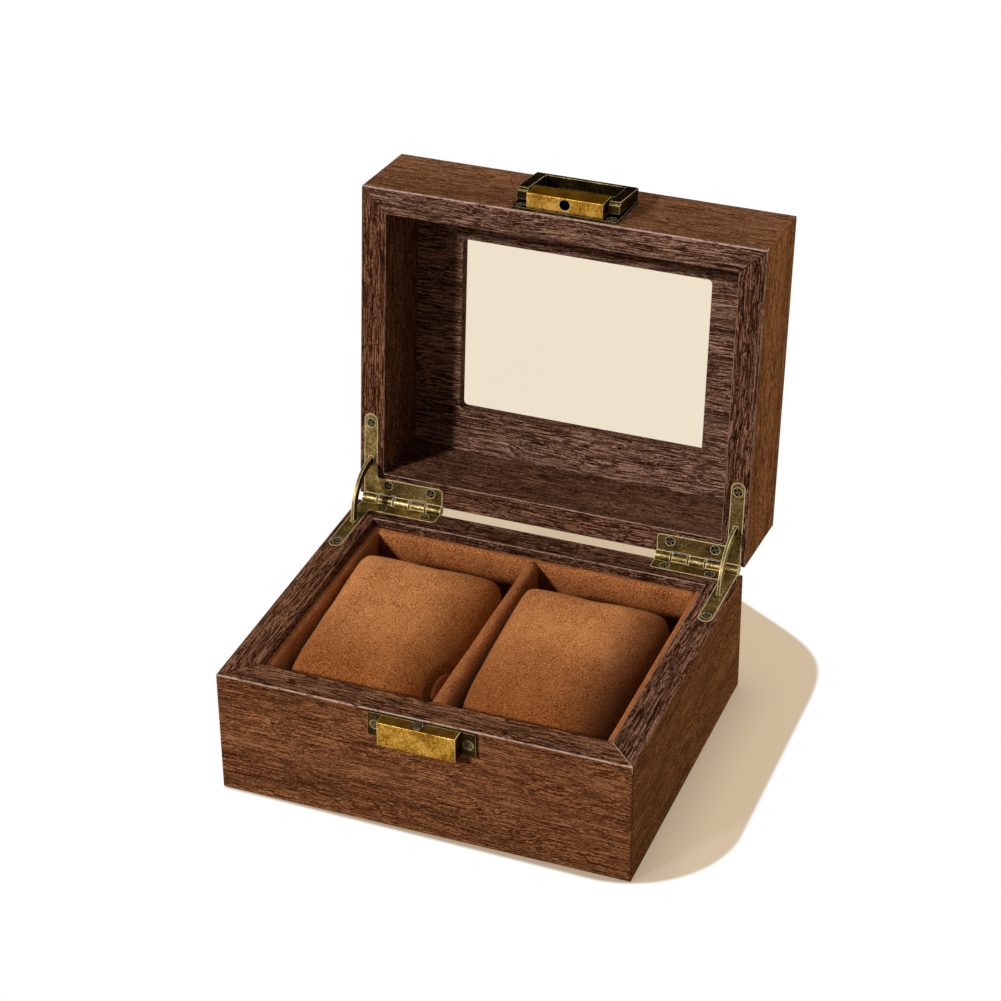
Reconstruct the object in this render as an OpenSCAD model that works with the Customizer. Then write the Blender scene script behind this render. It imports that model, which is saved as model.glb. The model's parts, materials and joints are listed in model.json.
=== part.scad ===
// Two-slot watch box: a mitred wooden base and a windowed lid on stay hinges,
// suede lining boards, two lift-out pillows and a swing-bail latch.
// Millimetres, +Z up. The origin is the centre of the base's underside.
// The lid is drawn open, leaning back on its two hinge stays.

/* [Base] */
// Outside width of the box, left to right
box_w = 160; // [140:1:220]
// Outside depth of the box, front to back
box_d = 130; // [120:1:180]
// Height of the base
base_h = 51; // [45:1:70]
// Thickness of the base's four walls
base_wall = 11.8; // [10:0.1:14]
// Thickness of the base's floor panel
floor_t = 4; // [3:0.5:6]
// Thickness of the felt sheet glued under the floor
felt_t = 0.8; // [0.5:0.1:1.5]
// Radius of the eased outer edges
edge_r = 1; // [0.5:0.1:2]
// Radius of the eased inner edges of the two rims
rim_r = 0.6; // [0.3:0.1:1]

/* [Lid] */
// Depth of the lid, rim to top
lid_h = 39; // [34:1:60]
// Thickness of the lid's four walls
lid_wall = 10.3; // [9:0.1:13]
// Thickness of the lid's top panel
panel_t = 6.5; // [4:0.5:8]
// Width of the window
window_w = 101.4; // [70:0.1:104]
// Height of the window, hinge side to latch side
window_d = 72.7; // [50:0.1:76]
// Corner radius of the window
window_r = 1.8; // [1:0.1:6]
// Thickness of the glass
glass_t = 1.5; // [1.2:0.1:2.5]
// Width of the ledge that the glass lies on
glass_lap = 3; // [2:0.1:4]
// Gap round and over the glass
glass_gap = 0.1; // [0.05:0.05:0.3]
// How far the lid stands open
lid_open = 95.3; // [92:0.1:100]

/* [Lining] */
// Thickness of the suede-covered lining boards
liner_t = 3.5; // [2.5:0.1:5]
// How far the lining stops below the rim
liner_drop = 3; // [2:0.5:8]
// Thickness of the suede-covered floor board
liner_floor_t = 1.6; // [1:0.1:3]
// Thickness of the divider between the two slots
divider_t = 5; // [3:0.1:8]

/* [Pillows] */
// Gap left between a pillow and the boards at its sides and its front
pillow_gap = 0.7; // [0.4:0.1:2]
// Open space behind each pillow
pillow_back_gap = 17; // [10:1:30]
// How far a pillow's top stays below the rim
pillow_drop = 0; // [0:0.1:6]
// Radius of a pillow's long edges
pillow_r = 6.5; // [4:0.5:14]
// Radius of a pillow's front and back edges
pillow_end_r = 4.5; // [3:0.5:14]
// Gap under a pillow
pillow_float = 0.3; // [0.1:0.1:1]

/* [Hinges] */
// Gap between the two rims when the lid is shut
rim_gap = 1.2; // [0.8:0.1:2]
// Distance of the hinge axis behind the back faces
axis_out = 1.1; // [0.6:0.1:1.4]
// Radius of the rolled knuckles
knuckle_r = 1.9; // [1.7:0.1:2.4]
// Gap between two knuckles
knuckle_gap = 0.6; // [0.2:0.05:0.8]
// Number of knuckles
knuckle_n = 5; // [3:2:7]
// Radius of the hinge pin
pin_r = 0.9; // [0.7:0.1:1.1]
// Thickness of the hinge leaves
leaf_t = 0.9; // [0.7:0.1:1.2]
// Length of a leaf's short arm, along the back
leaf_w = 33.5; // [28:0.5:40]
// Length of a leaf's long arm, from the back face
leaf_l = 35.5; // [30:0.5:45]
// Width of a leaf's long arm
arm_w = 5.6; // [5:0.1:6.4]
// Width of the base leaf's short arm, from the back face
base_short_w = 6.8; // [6:0.1:9]
// Width of the lid leaf's short arm, from the back face
lid_short_w = 8; // [6.5:0.1:9]
// Distance of a leaf from the side of the box
leaf_inset = 2; // [1.5:0.1:2.5]
// Corner radius of the lid leaf's free end
leaf_corner = 1.5; // [0.8:0.1:2]
// Corner cut of the base leaf's free end
leaf_chamfer = 1; // [0.5:0.1:3]
// Distance of a leaf's middle screw from the leaf's outer edge
mid_screw_x = 10.2; // [9:0.1:14]
// Distance of a leaf's end screw from the leaf's inner end
end_screw_x = 5.2; // [4:0.1:8]
// Distance of those two screws from the short arm's free edge
screw_edge = 2.6; // [2.3:0.1:3]
// How far the third screw sits behind the centre of the long arm's round end
arm_screw_in = 1.2; // [0:0.1:3]
// Thickness of the curved stay
stay_t = 1.3; // [1:0.1:1.5]
// Outer radius of the curved stay about the hinge axis
stay_r = 17.8; // [17:0.1:19]
// Width of the curved stay's strip
stay_w = 3.4; // [2.5:0.1:3.6]
// Half the angle between the centres of the stay's two round ends
stay_half_angle = 56.4; // [54:0.1:58]

/* [Latch] */
// How far to the right of the middle the latch and its catch are mounted
latch_x = 1.2; // [-5:0.1:5]
// Length of the latch plate and of the catch plate
plate_w = 41.6; // [38:0.1:50]
// Thickness of those plates
plate_t = 1.2; // [0.8:0.1:2]
// Height of the latch plate on the lid
latch_plate_h = 26; // [22:0.5:32]
// Length of the two brass blocks
block_w = 30; // [24:0.5:34]
// Height of the latch block
latch_block_h = 9.2; // [8:0.1:11]
// Height of the catch block and its plate
catch_block_h = 10.1; // [8:0.1:11]
// How far the latch block stands off its plate
latch_block_t = 5.8; // [5.5:0.1:7]
// How far the catch block stands off its plate
catch_block_t = 5.1; // [4.9:0.1:6]
// Distance of both plates from their rims
plate_inset = 0.4; // [0.3:0.1:1.5]
// How far the latch block stands back from its plate's edge at the rim
latch_block_back = 0.9; // [0.3:0.1:2]
// Radius of the eased edges of the blocks
block_r = 0.3; // [0.2:0.1:1]
// Distance of the latch screws from their plate's edge at the rim
latch_screw_in = 2.9; // [2.4:0.1:6]
// Distance of the socket from the box's front face
socket_off = 4.3; // [3.9:0.1:4.4]
// Radius of the socket in the latch block
socket_r = 2.1; // [1.2:0.1:2.3]
// Depth of the socket in the latch block
socket_depth = 6; // [3:0.5:8]
// Distance of the bail's pivot from the lid's rim
pivot_b = 6.4; // [5:0.1:7]
// Distance of the bail's pivot from the lid's face
pivot_off = 4.9; // [4.6:0.1:5]
// Radius of the two pivot pins
pivot_r = 0.9; // [0.6:0.1:1.2]
// Width of the bail's two arms
bail_arm = 4.3; // [3:0.1:5]
// Width of the bail's cross bar
bail_bar = 2; // [1.6:0.1:3.5]
// Depth of the bail's strip
bail_h = 4.5; // [4:0.1:5]
// How far the bail's arms go on past the pivot
bail_end = 1.7; // [1.5:0.1:2.5]
// Height of the step across the end of each arm
bail_step_h = 1.2; // [0.5:0.1:1.2]
// Length of that step
bail_step_l = 1; // [0.5:0.1:2]
// Gap between the bail's arms and the blocks
bail_side_gap = 1; // [0.5:0.05:1.5]
// Gap between the shut bail and the catch block
bail_catch_gap = 0.25; // [0.2:0.05:0.5]
// Radius of the round stud on the catch block
stud_r = 2.3; // [1.5:0.1:2.3]
// Height of that stud
stud_h = 1; // [0.5:0.1:1.3]
// Radius of the hole in the stud
stud_hole_r = 0.7; // [0.3:0.1:0.8]
// Distance of that hole from the stud's centre
stud_hole_x = 1.3; // [0:0.1:1.4]

/* [Screws] */
// Radius of a screw's head
head_r = 1.9; // [1.4:0.05:2]
// Height of its countersunk cone
head_h = 0.7; // [0.4:0.1:0.7]
// Radius of a screw's shank
shank_r = 0.8; // [0.6:0.05:1]
// Length of a screw
screw_l = 7; // [5:0.5:10]
// Depth of the cross recess in a screw's head
cross_depth = 0.5; // [0.3:0.1:0.8]

/* [Hidden] */
// Clearances: a running fit on a pin, a let-in leaf, a sliding stay, a screw in its hole,
// and a knuckle in its hollow
run_gap = 0.05;
let_in_gap = 0.15;
stay_gap = 0.25;
screw_gap = 0.05;
knuckle_clear = 0.45;
// The bail's rest and the small step past a surface that a cut needs
bail_rest_gap = 0.1;
eps = 0.5;
$fn = 64;

// Box and lining
inner_w = box_w - 2 * base_wall;
inner_d = box_d - 2 * base_wall;
floor_z = felt_t + floor_t;
lining_z = floor_z + liner_floor_t;
liner_top = base_h - liner_drop;
slot_w = (inner_w - 2 * liner_t - divider_t) / 2;
slot_d = inner_d - 2 * liner_t;
slot_x = (divider_t + slot_w) / 2;

// Pillows
pillow_w = slot_w - 2 * pillow_gap;
pillow_d = slot_d - pillow_gap - pillow_back_gap;
pillow_z = lining_z + pillow_float;
pillow_h = base_h - pillow_drop - pillow_z;
pillow_y = -slot_d / 2 + pillow_gap + pillow_d / 2;

// Lid, drawn shut first and then turned about the hinge axis
lid_rim_z = base_h + rim_gap;
lid_inner_w = box_w - 2 * lid_wall;
lid_inner_d = box_d - 2 * lid_wall;
panel_z = lid_rim_z + lid_h - panel_t;
axis_y = box_d / 2 + axis_out;
axis_z = base_h + rim_gap / 2;

// Hinge parts, measured from the outer side of the box and from the axis
leaf_top = -rim_gap / 2;
arm_x = leaf_inset + arm_w / 2;
arm_end = leaf_l + axis_out - arm_w / 2;
base_short_end = base_short_w + axis_out;
lid_short_end = lid_short_w + axis_out;
knuckle_l = (leaf_w - (knuckle_n - 1) * knuckle_gap) / knuckle_n;
stay_mid_r = stay_r - stay_w / 2;
stay_near = stay_mid_r * cos(stay_half_angle) - stay_w / 2 - stay_gap;
stay_far = stay_r + stay_gap;
stay_depth = stay_mid_r * sin(stay_half_angle) + stay_w / 2 + stay_gap;
slot_t = stay_t + 2 * stay_gap;
// The stay crosses a leaf nearest to the axis at the leaf's underside
slot_near = sqrt(pow(stay_r - stay_w, 2) - pow(leaf_t - leaf_top, 2)) - stay_gap;

// Latch, measured from the front face and from the two rims
pivot_y = -box_d / 2 - pivot_off;
pivot_z = lid_rim_z + pivot_b;
socket_y = -box_d / 2 - socket_off;
stud_y = -box_d / 2 - plate_t - catch_block_t / 2;
latch_low = lid_rim_z + plate_inset;
latch_block_low = latch_low + latch_block_back;
catch_high = base_h - plate_inset;
catch_low = catch_high - catch_block_h;
bail_in = block_w / 2 + bail_side_gap;
bail_reach = pivot_z - catch_low + bail_catch_gap;
bail_l = bail_reach + bail_bar;
bail_droop = asin((pivot_off - bail_h / 2 - plate_t - bail_rest_gap) / bail_l);
plate_screw_x = (block_w + plate_w) / 4;
catch_screw_z = catch_high - catch_block_h / 2;
latch_screw_z = latch_low + latch_screw_in;
// The pivot pins' length in the block and in each arm, and the arm's bore past the pin
pivot_pin_in = 5;
pivot_pin_out = bail_arm * 0.8;
pivot_bore_gap = 0.2;

// ---------------------------------------------------------------- helpers

// Rectangle about the origin with round corners
module round_rect(w, h, r) {
    square([w - 2 * r, h], center = true);
    square([w, h - 2 * r], center = true);
    for (x = [-1, 1], y = [-1, 1])
        translate([x * (w / 2 - r), y * (h / 2 - r)]) circle(r);
}

// Turns a piece that is drawn on the shut lid to where the open lid holds it
module on_open_lid() {
    translate([0, axis_y, axis_z]) rotate([-lid_open, 0, 0])
        translate([0, -axis_y, -axis_z]) children();
}

// Puts a hinge piece, drawn from the side face and the axis, on the left or the right
module at_hinge(side) {
    mirror([side > 0 ? 1 : 0, 0, 0]) translate([-box_w / 2, axis_y, axis_z]) children();
}

// The same piece upside down about the hinge axis: a base piece becomes a lid piece
module lid_side() {
    mirror([0, 0, 1]) children();
}

// A point on the front face: x along it from the middle of the latch, and z up
module on_face(x, z) {
    translate([latch_x + x, -box_d / 2, z]) rotate([90, 0, 0]) children();
}

// ---------------------------------------------------------------- boards

// Plan of one mitred board of a w by d frame; turn 0 is the front, 1 the right side,
// 2 the back and 3 the left side
module mitre_plan(w, d, t, turn) {
    x = w / 2;
    y = d / 2;
    if (turn == 0) polygon([[-x, -y], [x, -y], [x - t, t - y], [t - x, t - y]]);
    if (turn == 1) polygon([[x, -y], [x, y], [x - t, y - t], [x - t, t - y]]);
    if (turn == 2) polygon([[x, y], [-x, y], [t - x, y - t], [x - t, y - t]]);
    if (turn == 3) polygon([[-x, y], [-x, -y], [t - x, t - y], [t - x, y - t]]);
}

// Section of a board, eased along both outer edges and along the rim's inner edge;
// the rim is the board's low edge at rim_at 0 and its high edge at rim_at 1
module board_section(t, h, rim_at) {
    difference() {
        square([t, h]);
        for (z = [0, h - edge_r]) translate([0, z]) square(edge_r);
        translate([t - rim_r, rim_at * (h - rim_r)]) square(rim_r);
    }
    for (z = [edge_r, h - edge_r]) translate([edge_r, z]) circle(edge_r);
    translate([t - rim_r, rim_r + rim_at * (h - 2 * rim_r)]) circle(rim_r);
}

// One board of a mitred frame, with its outer edges and the box's upright corners eased
module board(t, h, turn, rim_at) {
    long = turn % 2 == 0 ? box_w : box_d;
    away = turn % 2 == 0 ? box_d / 2 : box_w / 2;
    intersection() {
        rotate([0, 0, turn * 90]) translate([-long / 2, -away, 0]) rotate([90, 0, 90])
            linear_extrude(long) board_section(t, h, rim_at);
        linear_extrude(h) mitre_plan(box_w, box_d, t, turn);
        linear_extrude(h) round_rect(box_w, box_d, edge_r);
    }
}

// What the hinges take out of the rims: let-in leaves, hollows for the knuckles,
// mortises for the stays and pilot holes for the screws
module hinge_cuts(short_end, cut) {
    translate([0, 0, leaf_top - leaf_t]) linear_extrude(leaf_t + eps)
        leaf_plan(let_in_gap, short_end, cut);
    translate([leaf_inset - knuckle_clear, 0, 0]) rotate([0, 90, 0])
        cylinder(h = leaf_w + 2 * knuckle_clear, r = knuckle_r + knuckle_clear);
    translate([arm_x - slot_t / 2, -stay_far, -stay_depth])
        cube([slot_t, stay_far - stay_near, stay_depth]);
    for (p = leaf_screws(short_end))
        translate([p[0], -p[1], leaf_top - screw_l - screw_gap])
            cylinder(h = screw_l, r = shank_r + screw_gap);
}

module base_board(turn) {
    difference() {
        board(base_wall, base_h, turn, 1);
        for (side = [-1, 1]) at_hinge(side) hinge_cuts(base_short_end, leaf_chamfer);
        if (turn == 0) catch_screw_holes();
    }
}

module lid_board(turn) {
    on_open_lid() difference() {
        translate([0, 0, lid_rim_z]) board(lid_wall, lid_h, turn, 0);
        for (side = [-1, 1]) at_hinge(side) lid_side() hinge_cuts(lid_short_end, 0);
        if (turn == 0) latch_screw_holes();
    }
}

// ---------------------------------------------------------------- base

module base_front() { color("#4a2c20") base_board(0); }
module base_back() { color("#4a2c20") base_board(2); }
module base_left() { color("#4a2c20") base_board(3); }
module base_right() { color("#4a2c20") base_board(1); }

module base_floor() {
    color("#5b4030") translate([0, 0, felt_t + floor_t / 2])
        cube([inner_w, inner_d, floor_t], center = true);
}

module base_felt() {
    color("#33261f") translate([0, 0, felt_t / 2])
        cube([inner_w, inner_d, felt_t], center = true);
}

// ---------------------------------------------------------------- lining

// A suede-covered board standing on the lining's floor, with a round top edge
module lining_board(length, t) {
    h = liner_top - lining_z;
    translate([0, length / 2, lining_z]) rotate([90, 0, 0]) linear_extrude(length) {
        translate([-t / 2, 0]) square([t, h - t / 2]);
        translate([0, h - t / 2]) circle(t / 2);
    }
}

module liner_front() {
    color("#9a5a34") translate([0, (liner_t - inner_d) / 2, 0]) rotate([0, 0, 90])
        lining_board(inner_w - 2 * liner_t, liner_t);
}

module liner_back() {
    color("#9a5a34") translate([0, (inner_d - liner_t) / 2, 0]) rotate([0, 0, 90])
        lining_board(inner_w - 2 * liner_t, liner_t);
}

module liner_left() {
    color("#9a5a34") translate([(liner_t - inner_w) / 2, 0, 0]) lining_board(inner_d, liner_t);
}

module liner_right() {
    color("#9a5a34") translate([(inner_w - liner_t) / 2, 0, 0]) lining_board(inner_d, liner_t);
}

module liner_floor() {
    color("#8a4f2e") translate([0, 0, floor_z + liner_floor_t / 2])
        cube([inner_w, inner_d, liner_floor_t], center = true);
}

module divider() { color("#9a5a34") lining_board(slot_d, divider_t); }

// ---------------------------------------------------------------- pillows

// A crowned pillow: round along its sides, and round over its front and back
module pillow(side) {
    color("#ad6a3d") translate([side * slot_x, pillow_y, pillow_z + pillow_h / 2])
        intersection() {
            translate([0, pillow_d / 2, 0]) rotate([90, 0, 0])
                linear_extrude(pillow_d) round_rect(pillow_w, pillow_h, pillow_r);
            translate([-pillow_w / 2, 0, 0]) rotate([90, 0, 90])
                linear_extrude(pillow_w) round_rect(pillow_d, pillow_h, pillow_end_r);
        }
}

module pillow_left() { pillow(-1); }
module pillow_right() { pillow(1); }

// ---------------------------------------------------------------- lid

module lid_front() { color("#4a2c20") lid_board(0); }
module lid_back() { color("#4a2c20") lid_board(2); }
module lid_left() { color("#4a2c20") lid_board(3); }
module lid_right() { color("#4a2c20") lid_board(1); }

// Top panel with the window and, on its outside, the rabbet that holds the glass
module lid_panel() {
    color("#40261b") on_open_lid() translate([0, 0, panel_z]) difference() {
        translate([0, 0, panel_t / 2]) cube([lid_inner_w, lid_inner_d, panel_t], center = true);
        translate([0, 0, -eps]) linear_extrude(panel_t + 2 * eps)
            round_rect(window_w, window_d, window_r);
        translate([0, 0, panel_t - glass_t - glass_gap]) linear_extrude(glass_t + eps)
            round_rect(window_w + 2 * glass_lap, window_d + 2 * glass_lap, window_r);
    }
}

module window_glass() {
    color([0.85, 0.9, 0.88, 0.35]) on_open_lid()
        translate([0, 0, panel_z + panel_t - glass_t - glass_gap]) linear_extrude(glass_t)
            round_rect(window_w + 2 * (glass_lap - glass_gap),
                       window_d + 2 * (glass_lap - glass_gap), window_r);
}

// ---------------------------------------------------------------- hinges

// Places of a leaf's three screws, from the side of the box and from the axis
function leaf_screws(short_end) = [
    [arm_x, arm_end - arm_screw_in],
    [leaf_inset + mid_screw_x, short_end - screw_edge],
    [leaf_inset + leaf_w - end_screw_x, short_end - screw_edge]
];

// Outline of a leaf, grown all round by g; the free end of its short arm has a cut corner
// of the size cut, or a round one where cut is 0
module leaf_plan(g, short_end, cut) {
    x0 = leaf_inset - g;
    x1 = leaf_inset + leaf_w + g;
    y1 = -short_end - g;
    r = leaf_corner + g;
    difference() {
        translate([x0, y1]) square([x1 - x0, -y1]);
        if (cut > 0) translate([x1, y1]) rotate(45) square(cut * sqrt(2), center = true);
        if (cut == 0) translate([x1 - r, y1]) square(r);
    }
    if (cut == 0) translate([x1 - r, y1 + r]) circle(r);
    translate([x0, -arm_end]) square([arm_w + 2 * g, arm_end]);
    translate([arm_x, -arm_end]) circle(arm_w / 2 + g);
}

// Row of knuckles from the axis outwards; first is 0 or 1, and every other one follows
module knuckles(first, r, extra) {
    for (i = [first : 2 : knuckle_n - 1])
        translate([leaf_inset + i * (knuckle_l + knuckle_gap) - extra, 0, 0]) rotate([0, 90, 0])
            cylinder(h = knuckle_l + 2 * extra, r = r);
}

// A leaf as the base carries it, with its own knuckles and room for the other leaf's
module leaf(first, bore, short_end, cut) {
    difference() {
        union() {
            translate([0, 0, leaf_top - leaf_t]) linear_extrude(leaf_t)
                leaf_plan(0, short_end, cut);
            knuckles(first, knuckle_r, 0);
        }
        knuckles(1 - first, knuckle_r + knuckle_clear, knuckle_gap);
        rotate([0, 90, 0]) cylinder(h = box_w / 2, r = bore);
        translate([arm_x - slot_t / 2, -stay_far, leaf_top - leaf_t - eps])
            cube([slot_t, stay_far - slot_near, leaf_t + 2 * eps]);
        for (p = leaf_screws(short_end)) translate([p[0], -p[1], leaf_top]) screw_seat(leaf_t);
    }
}

module base_leaf(side) {
    color("#8f7a35") at_hinge(side) leaf(1, pin_r, base_short_end, leaf_chamfer);
}

module lid_leaf(side) {
    color("#8f7a35") on_open_lid() at_hinge(side) lid_side()
        leaf(0, pin_r + run_gap, lid_short_end, 0);
}

module hinge_pin(side) {
    color("#6f5f2c") at_hinge(side) translate([leaf_inset, 0, 0]) rotate([0, 90, 0])
        cylinder(h = leaf_w, r = pin_r);
}

// Curved stay: a flat strip bent round the hinge axis, with round ends. It hangs half
// way between the two leaves, so it turns half as far as the lid
module stay(side) {
    color("#8f7a35") at_hinge(side) rotate([-lid_open / 2, 0, 0])
        translate([arm_x - stay_t / 2, 0, 0]) rotate([90, 0, 90]) linear_extrude(stay_t) {
            intersection() {
                difference() {
                    circle(stay_r, $fn = 128);
                    circle(stay_r - stay_w, $fn = 128);
                }
                polygon([[0, 0], for (a = [-1, -0.5, 0, 0.5, 1])
                    2 * stay_r * [-cos(a * stay_half_angle), sin(a * stay_half_angle)]]);
            }
            for (a = [-1, 1]) rotate(-a * stay_half_angle) translate([-stay_mid_r, 0])
                circle(stay_w / 2);
        }
}

module leaf_screw_set(short_end) {
    for (p = leaf_screws(short_end)) translate([p[0], -p[1], leaf_top]) screw();
}

module base_screws(side) { color("#3a342c") at_hinge(side) leaf_screw_set(base_short_end); }

module lid_screws(side) {
    color("#3a342c") on_open_lid() at_hinge(side) lid_side() leaf_screw_set(lid_short_end);
}

module hinge_left_base_leaf() { base_leaf(-1); }
module hinge_left_lid_leaf() { lid_leaf(-1); }
module hinge_left_pin() { hinge_pin(-1); }
module hinge_left_stay() { stay(-1); }
module hinge_left_base_screws() { base_screws(-1); }
module hinge_left_lid_screws() { lid_screws(-1); }
module hinge_right_base_leaf() { base_leaf(1); }
module hinge_right_lid_leaf() { lid_leaf(1); }
module hinge_right_pin() { hinge_pin(1); }
module hinge_right_stay() { stay(1); }
module hinge_right_base_screws() { base_screws(1); }
module hinge_right_lid_screws() { lid_screws(1); }

// ---------------------------------------------------------------- screws

// Countersunk screw, its head's face at z = 0 and its shank going down
module screw() {
    difference() {
        union() {
            translate([0, 0, -head_h]) cylinder(h = head_h, r1 = shank_r, r2 = head_r);
            translate([0, 0, -screw_l]) cylinder(h = screw_l - head_h, r = shank_r);
        }
        for (a = [0, 90]) rotate([0, 0, a + 20])
            translate([-head_r * 0.7, -head_r * 0.13, -cross_depth])
                cube([head_r * 1.4, head_r * 0.26, cross_depth + eps]);
    }
}

// Countersunk hole for a screw through a plate of thickness t, its mouth at z = 0
module screw_seat(t) {
    translate([0, 0, -head_h])
        cylinder(h = head_h, r1 = shank_r + screw_gap, r2 = head_r + screw_gap);
    cylinder(h = eps, r = head_r + screw_gap);
    translate([0, 0, -t - eps]) cylinder(h = t + eps, r = shank_r + screw_gap);
}

// ---------------------------------------------------------------- latch

// Flat plate on the front face, from z_low, h high, with two countersunk holes
module face_plate(z_low, h, screw_z) {
    difference() {
        on_face(0, z_low + h / 2) linear_extrude(plate_t) round_rect(plate_w, h, 0.8);
        for (x = [-1, 1]) on_face(x * plate_screw_x, screw_z) translate([0, 0, plate_t])
            screw_seat(plate_t);
    }
}

module face_screws(screw_z) {
    for (x = [-1, 1]) on_face(x * plate_screw_x, screw_z) translate([0, 0, plate_t]) screw();
}

module face_screw_holes(screw_z) {
    for (x = [-1, 1]) on_face(x * plate_screw_x, screw_z)
        translate([0, 0, plate_t - screw_l - screw_gap])
            cylinder(h = screw_l, r = shank_r + screw_gap);
}

module catch_screw_holes() { face_screw_holes(catch_screw_z); }
module latch_screw_holes() { face_screw_holes(latch_screw_z); }

// Brass block on a plate, its front edges eased
module face_block(z_low, h, t) {
    translate([latch_x - block_w / 2, -box_d / 2 - plate_t - t, z_low]) rotate([90, 0, 90])
        linear_extrude(block_w) {
            translate([block_r, 0]) square([t - block_r, h]);
            translate([0, block_r]) square([t, h - 2 * block_r]);
            for (z = [block_r, h - block_r]) translate([block_r, z]) circle(block_r);
        }
}

module catch_plate() {
    color("#4b4026") face_plate(catch_low, catch_block_h, catch_screw_z);
}

module catch_block() { color("#b8923a") face_block(catch_low, catch_block_h, catch_block_t); }

// Round stud on the catch block, with a hole to one side
module catch_stud() {
    color("#a9a391") translate([latch_x, stud_y, catch_high]) difference() {
        cylinder(h = stud_h, r = stud_r);
        translate([stud_hole_x, 0, stud_h / 2]) cylinder(h = stud_h, r = stud_hole_r);
    }
}

module catch_screws() { color("#3a342c") face_screws(catch_screw_z); }

module latch_plate() {
    color("#4b4026") on_open_lid()
        face_plate(latch_low, latch_plate_h, latch_screw_z);
}

module latch_block() {
    color("#b8923a") on_open_lid() difference() {
        face_block(latch_block_low, latch_block_h, latch_block_t);
        translate([latch_x, socket_y, latch_block_low - eps])
            cylinder(h = socket_depth + eps, r = socket_r);
        at_pivots(block_w / 2 - pivot_pin_in) cylinder(h = pivot_pin_in + eps, r = pivot_r);
    }
}

// Puts a cylinder on each side of the latch's middle, from off outwards on the pivot line
module at_pivots(off) {
    for (x = [-1, 1]) translate([latch_x + x * off, pivot_y, pivot_z]) rotate([0, x * 90, 0])
        children();
}

// Two pins that the bail swings on, set in the ends of the block
module latch_pins() {
    color("#4b4026") on_open_lid() at_pivots(block_w / 2 - pivot_pin_in)
        cylinder(h = pivot_pin_in + bail_side_gap + pivot_pin_out, r = pivot_r);
}

module latch_screws() { color("#3a342c") on_open_lid() face_screws(latch_screw_z); }

// The bail lies folded back on the latch plate. It is a rectangular frame of deep strip,
// stepped at the pivot end; shut, its cross bar hooks under the catch block
module latch_bail() {
    color("#3d3424") on_open_lid() translate([latch_x, pivot_y, pivot_z])
        rotate([-bail_droop, 0, 0]) difference() {
            translate([-bail_in - bail_arm, 0, 0]) rotate([90, 0, 90])
                linear_extrude(2 * (bail_in + bail_arm)) bail_section();
            translate([-bail_in, -bail_h, -bail_h])
                cube([2 * bail_in, 2 * bail_h, bail_h + bail_reach]);
            for (x = [-1, 1]) translate([x * (bail_in - eps), 0, 0]) rotate([0, x * 90, 0])
                cylinder(h = eps + pivot_pin_out + pivot_bore_gap, r = pivot_r + run_gap);
        }
}

// The bail seen from its side, from the pivot along the arm to the far edge of the bar
module bail_section() {
    difference() {
        translate([-bail_h / 2, -bail_end]) square([bail_h, bail_end + bail_l]);
        translate([-bail_h / 2 - eps, -bail_end - eps])
            square([bail_step_h + eps, bail_step_l + eps]);
    }
}

// ---------------------------------------------------------------- build

base_front();
base_back();
base_left();
base_right();
base_floor();
base_felt();
liner_front();
liner_back();
liner_left();
liner_right();
liner_floor();
divider();
pillow_left();
pillow_right();
lid_front();
lid_back();
lid_left();
lid_right();
lid_panel();
window_glass();
hinge_left_base_leaf();
hinge_left_lid_leaf();
hinge_left_pin();
hinge_left_stay();
hinge_left_base_screws();
hinge_left_lid_screws();
hinge_right_base_leaf();
hinge_right_lid_leaf();
hinge_right_pin();
hinge_right_stay();
hinge_right_base_screws();
hinge_right_lid_screws();
latch_plate();
latch_block();
latch_pins();
latch_screws();
latch_bail();
catch_plate();
catch_block();
catch_stud();
catch_screws();
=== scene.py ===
"""A small watch box with a window lid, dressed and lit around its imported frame."""
import json
import math

import bmesh
import bpy
from mathutils import Matrix, Vector, noise


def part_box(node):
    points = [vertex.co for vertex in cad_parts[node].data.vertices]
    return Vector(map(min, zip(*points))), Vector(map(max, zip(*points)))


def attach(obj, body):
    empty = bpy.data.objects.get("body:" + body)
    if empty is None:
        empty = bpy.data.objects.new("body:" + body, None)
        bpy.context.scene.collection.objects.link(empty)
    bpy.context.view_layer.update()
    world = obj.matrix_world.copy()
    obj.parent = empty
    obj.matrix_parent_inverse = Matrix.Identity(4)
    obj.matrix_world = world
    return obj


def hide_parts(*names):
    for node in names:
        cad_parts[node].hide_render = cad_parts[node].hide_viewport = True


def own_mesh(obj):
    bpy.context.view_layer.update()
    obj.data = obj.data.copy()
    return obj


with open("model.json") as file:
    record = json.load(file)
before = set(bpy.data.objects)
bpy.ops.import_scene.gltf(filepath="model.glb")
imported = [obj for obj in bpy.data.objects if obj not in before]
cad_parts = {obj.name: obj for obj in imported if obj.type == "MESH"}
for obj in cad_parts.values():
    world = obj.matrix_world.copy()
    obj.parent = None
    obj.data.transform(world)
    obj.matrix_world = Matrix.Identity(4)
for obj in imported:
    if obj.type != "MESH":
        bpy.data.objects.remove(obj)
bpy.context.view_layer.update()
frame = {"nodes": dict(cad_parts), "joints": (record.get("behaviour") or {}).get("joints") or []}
nodes = frame["nodes"]

# ---- Studio -----------------------------------------------------------------------------
# The camera looks down from the front, a little to the right. A low sun from the front left
# throws the shadow inside the lid, a wide lamp hangs high behind the box on the right, and a
# small one stands low behind it and lights the right side.
camera_place = Vector((0.32691, -0.82111, 0.64950))
camera_round = math.radians(21.33)
camera_down = math.radians(31.66)
camera_roll = math.radians(-0.488)
picture_px = 1001
focal_px = 2868.8

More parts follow.
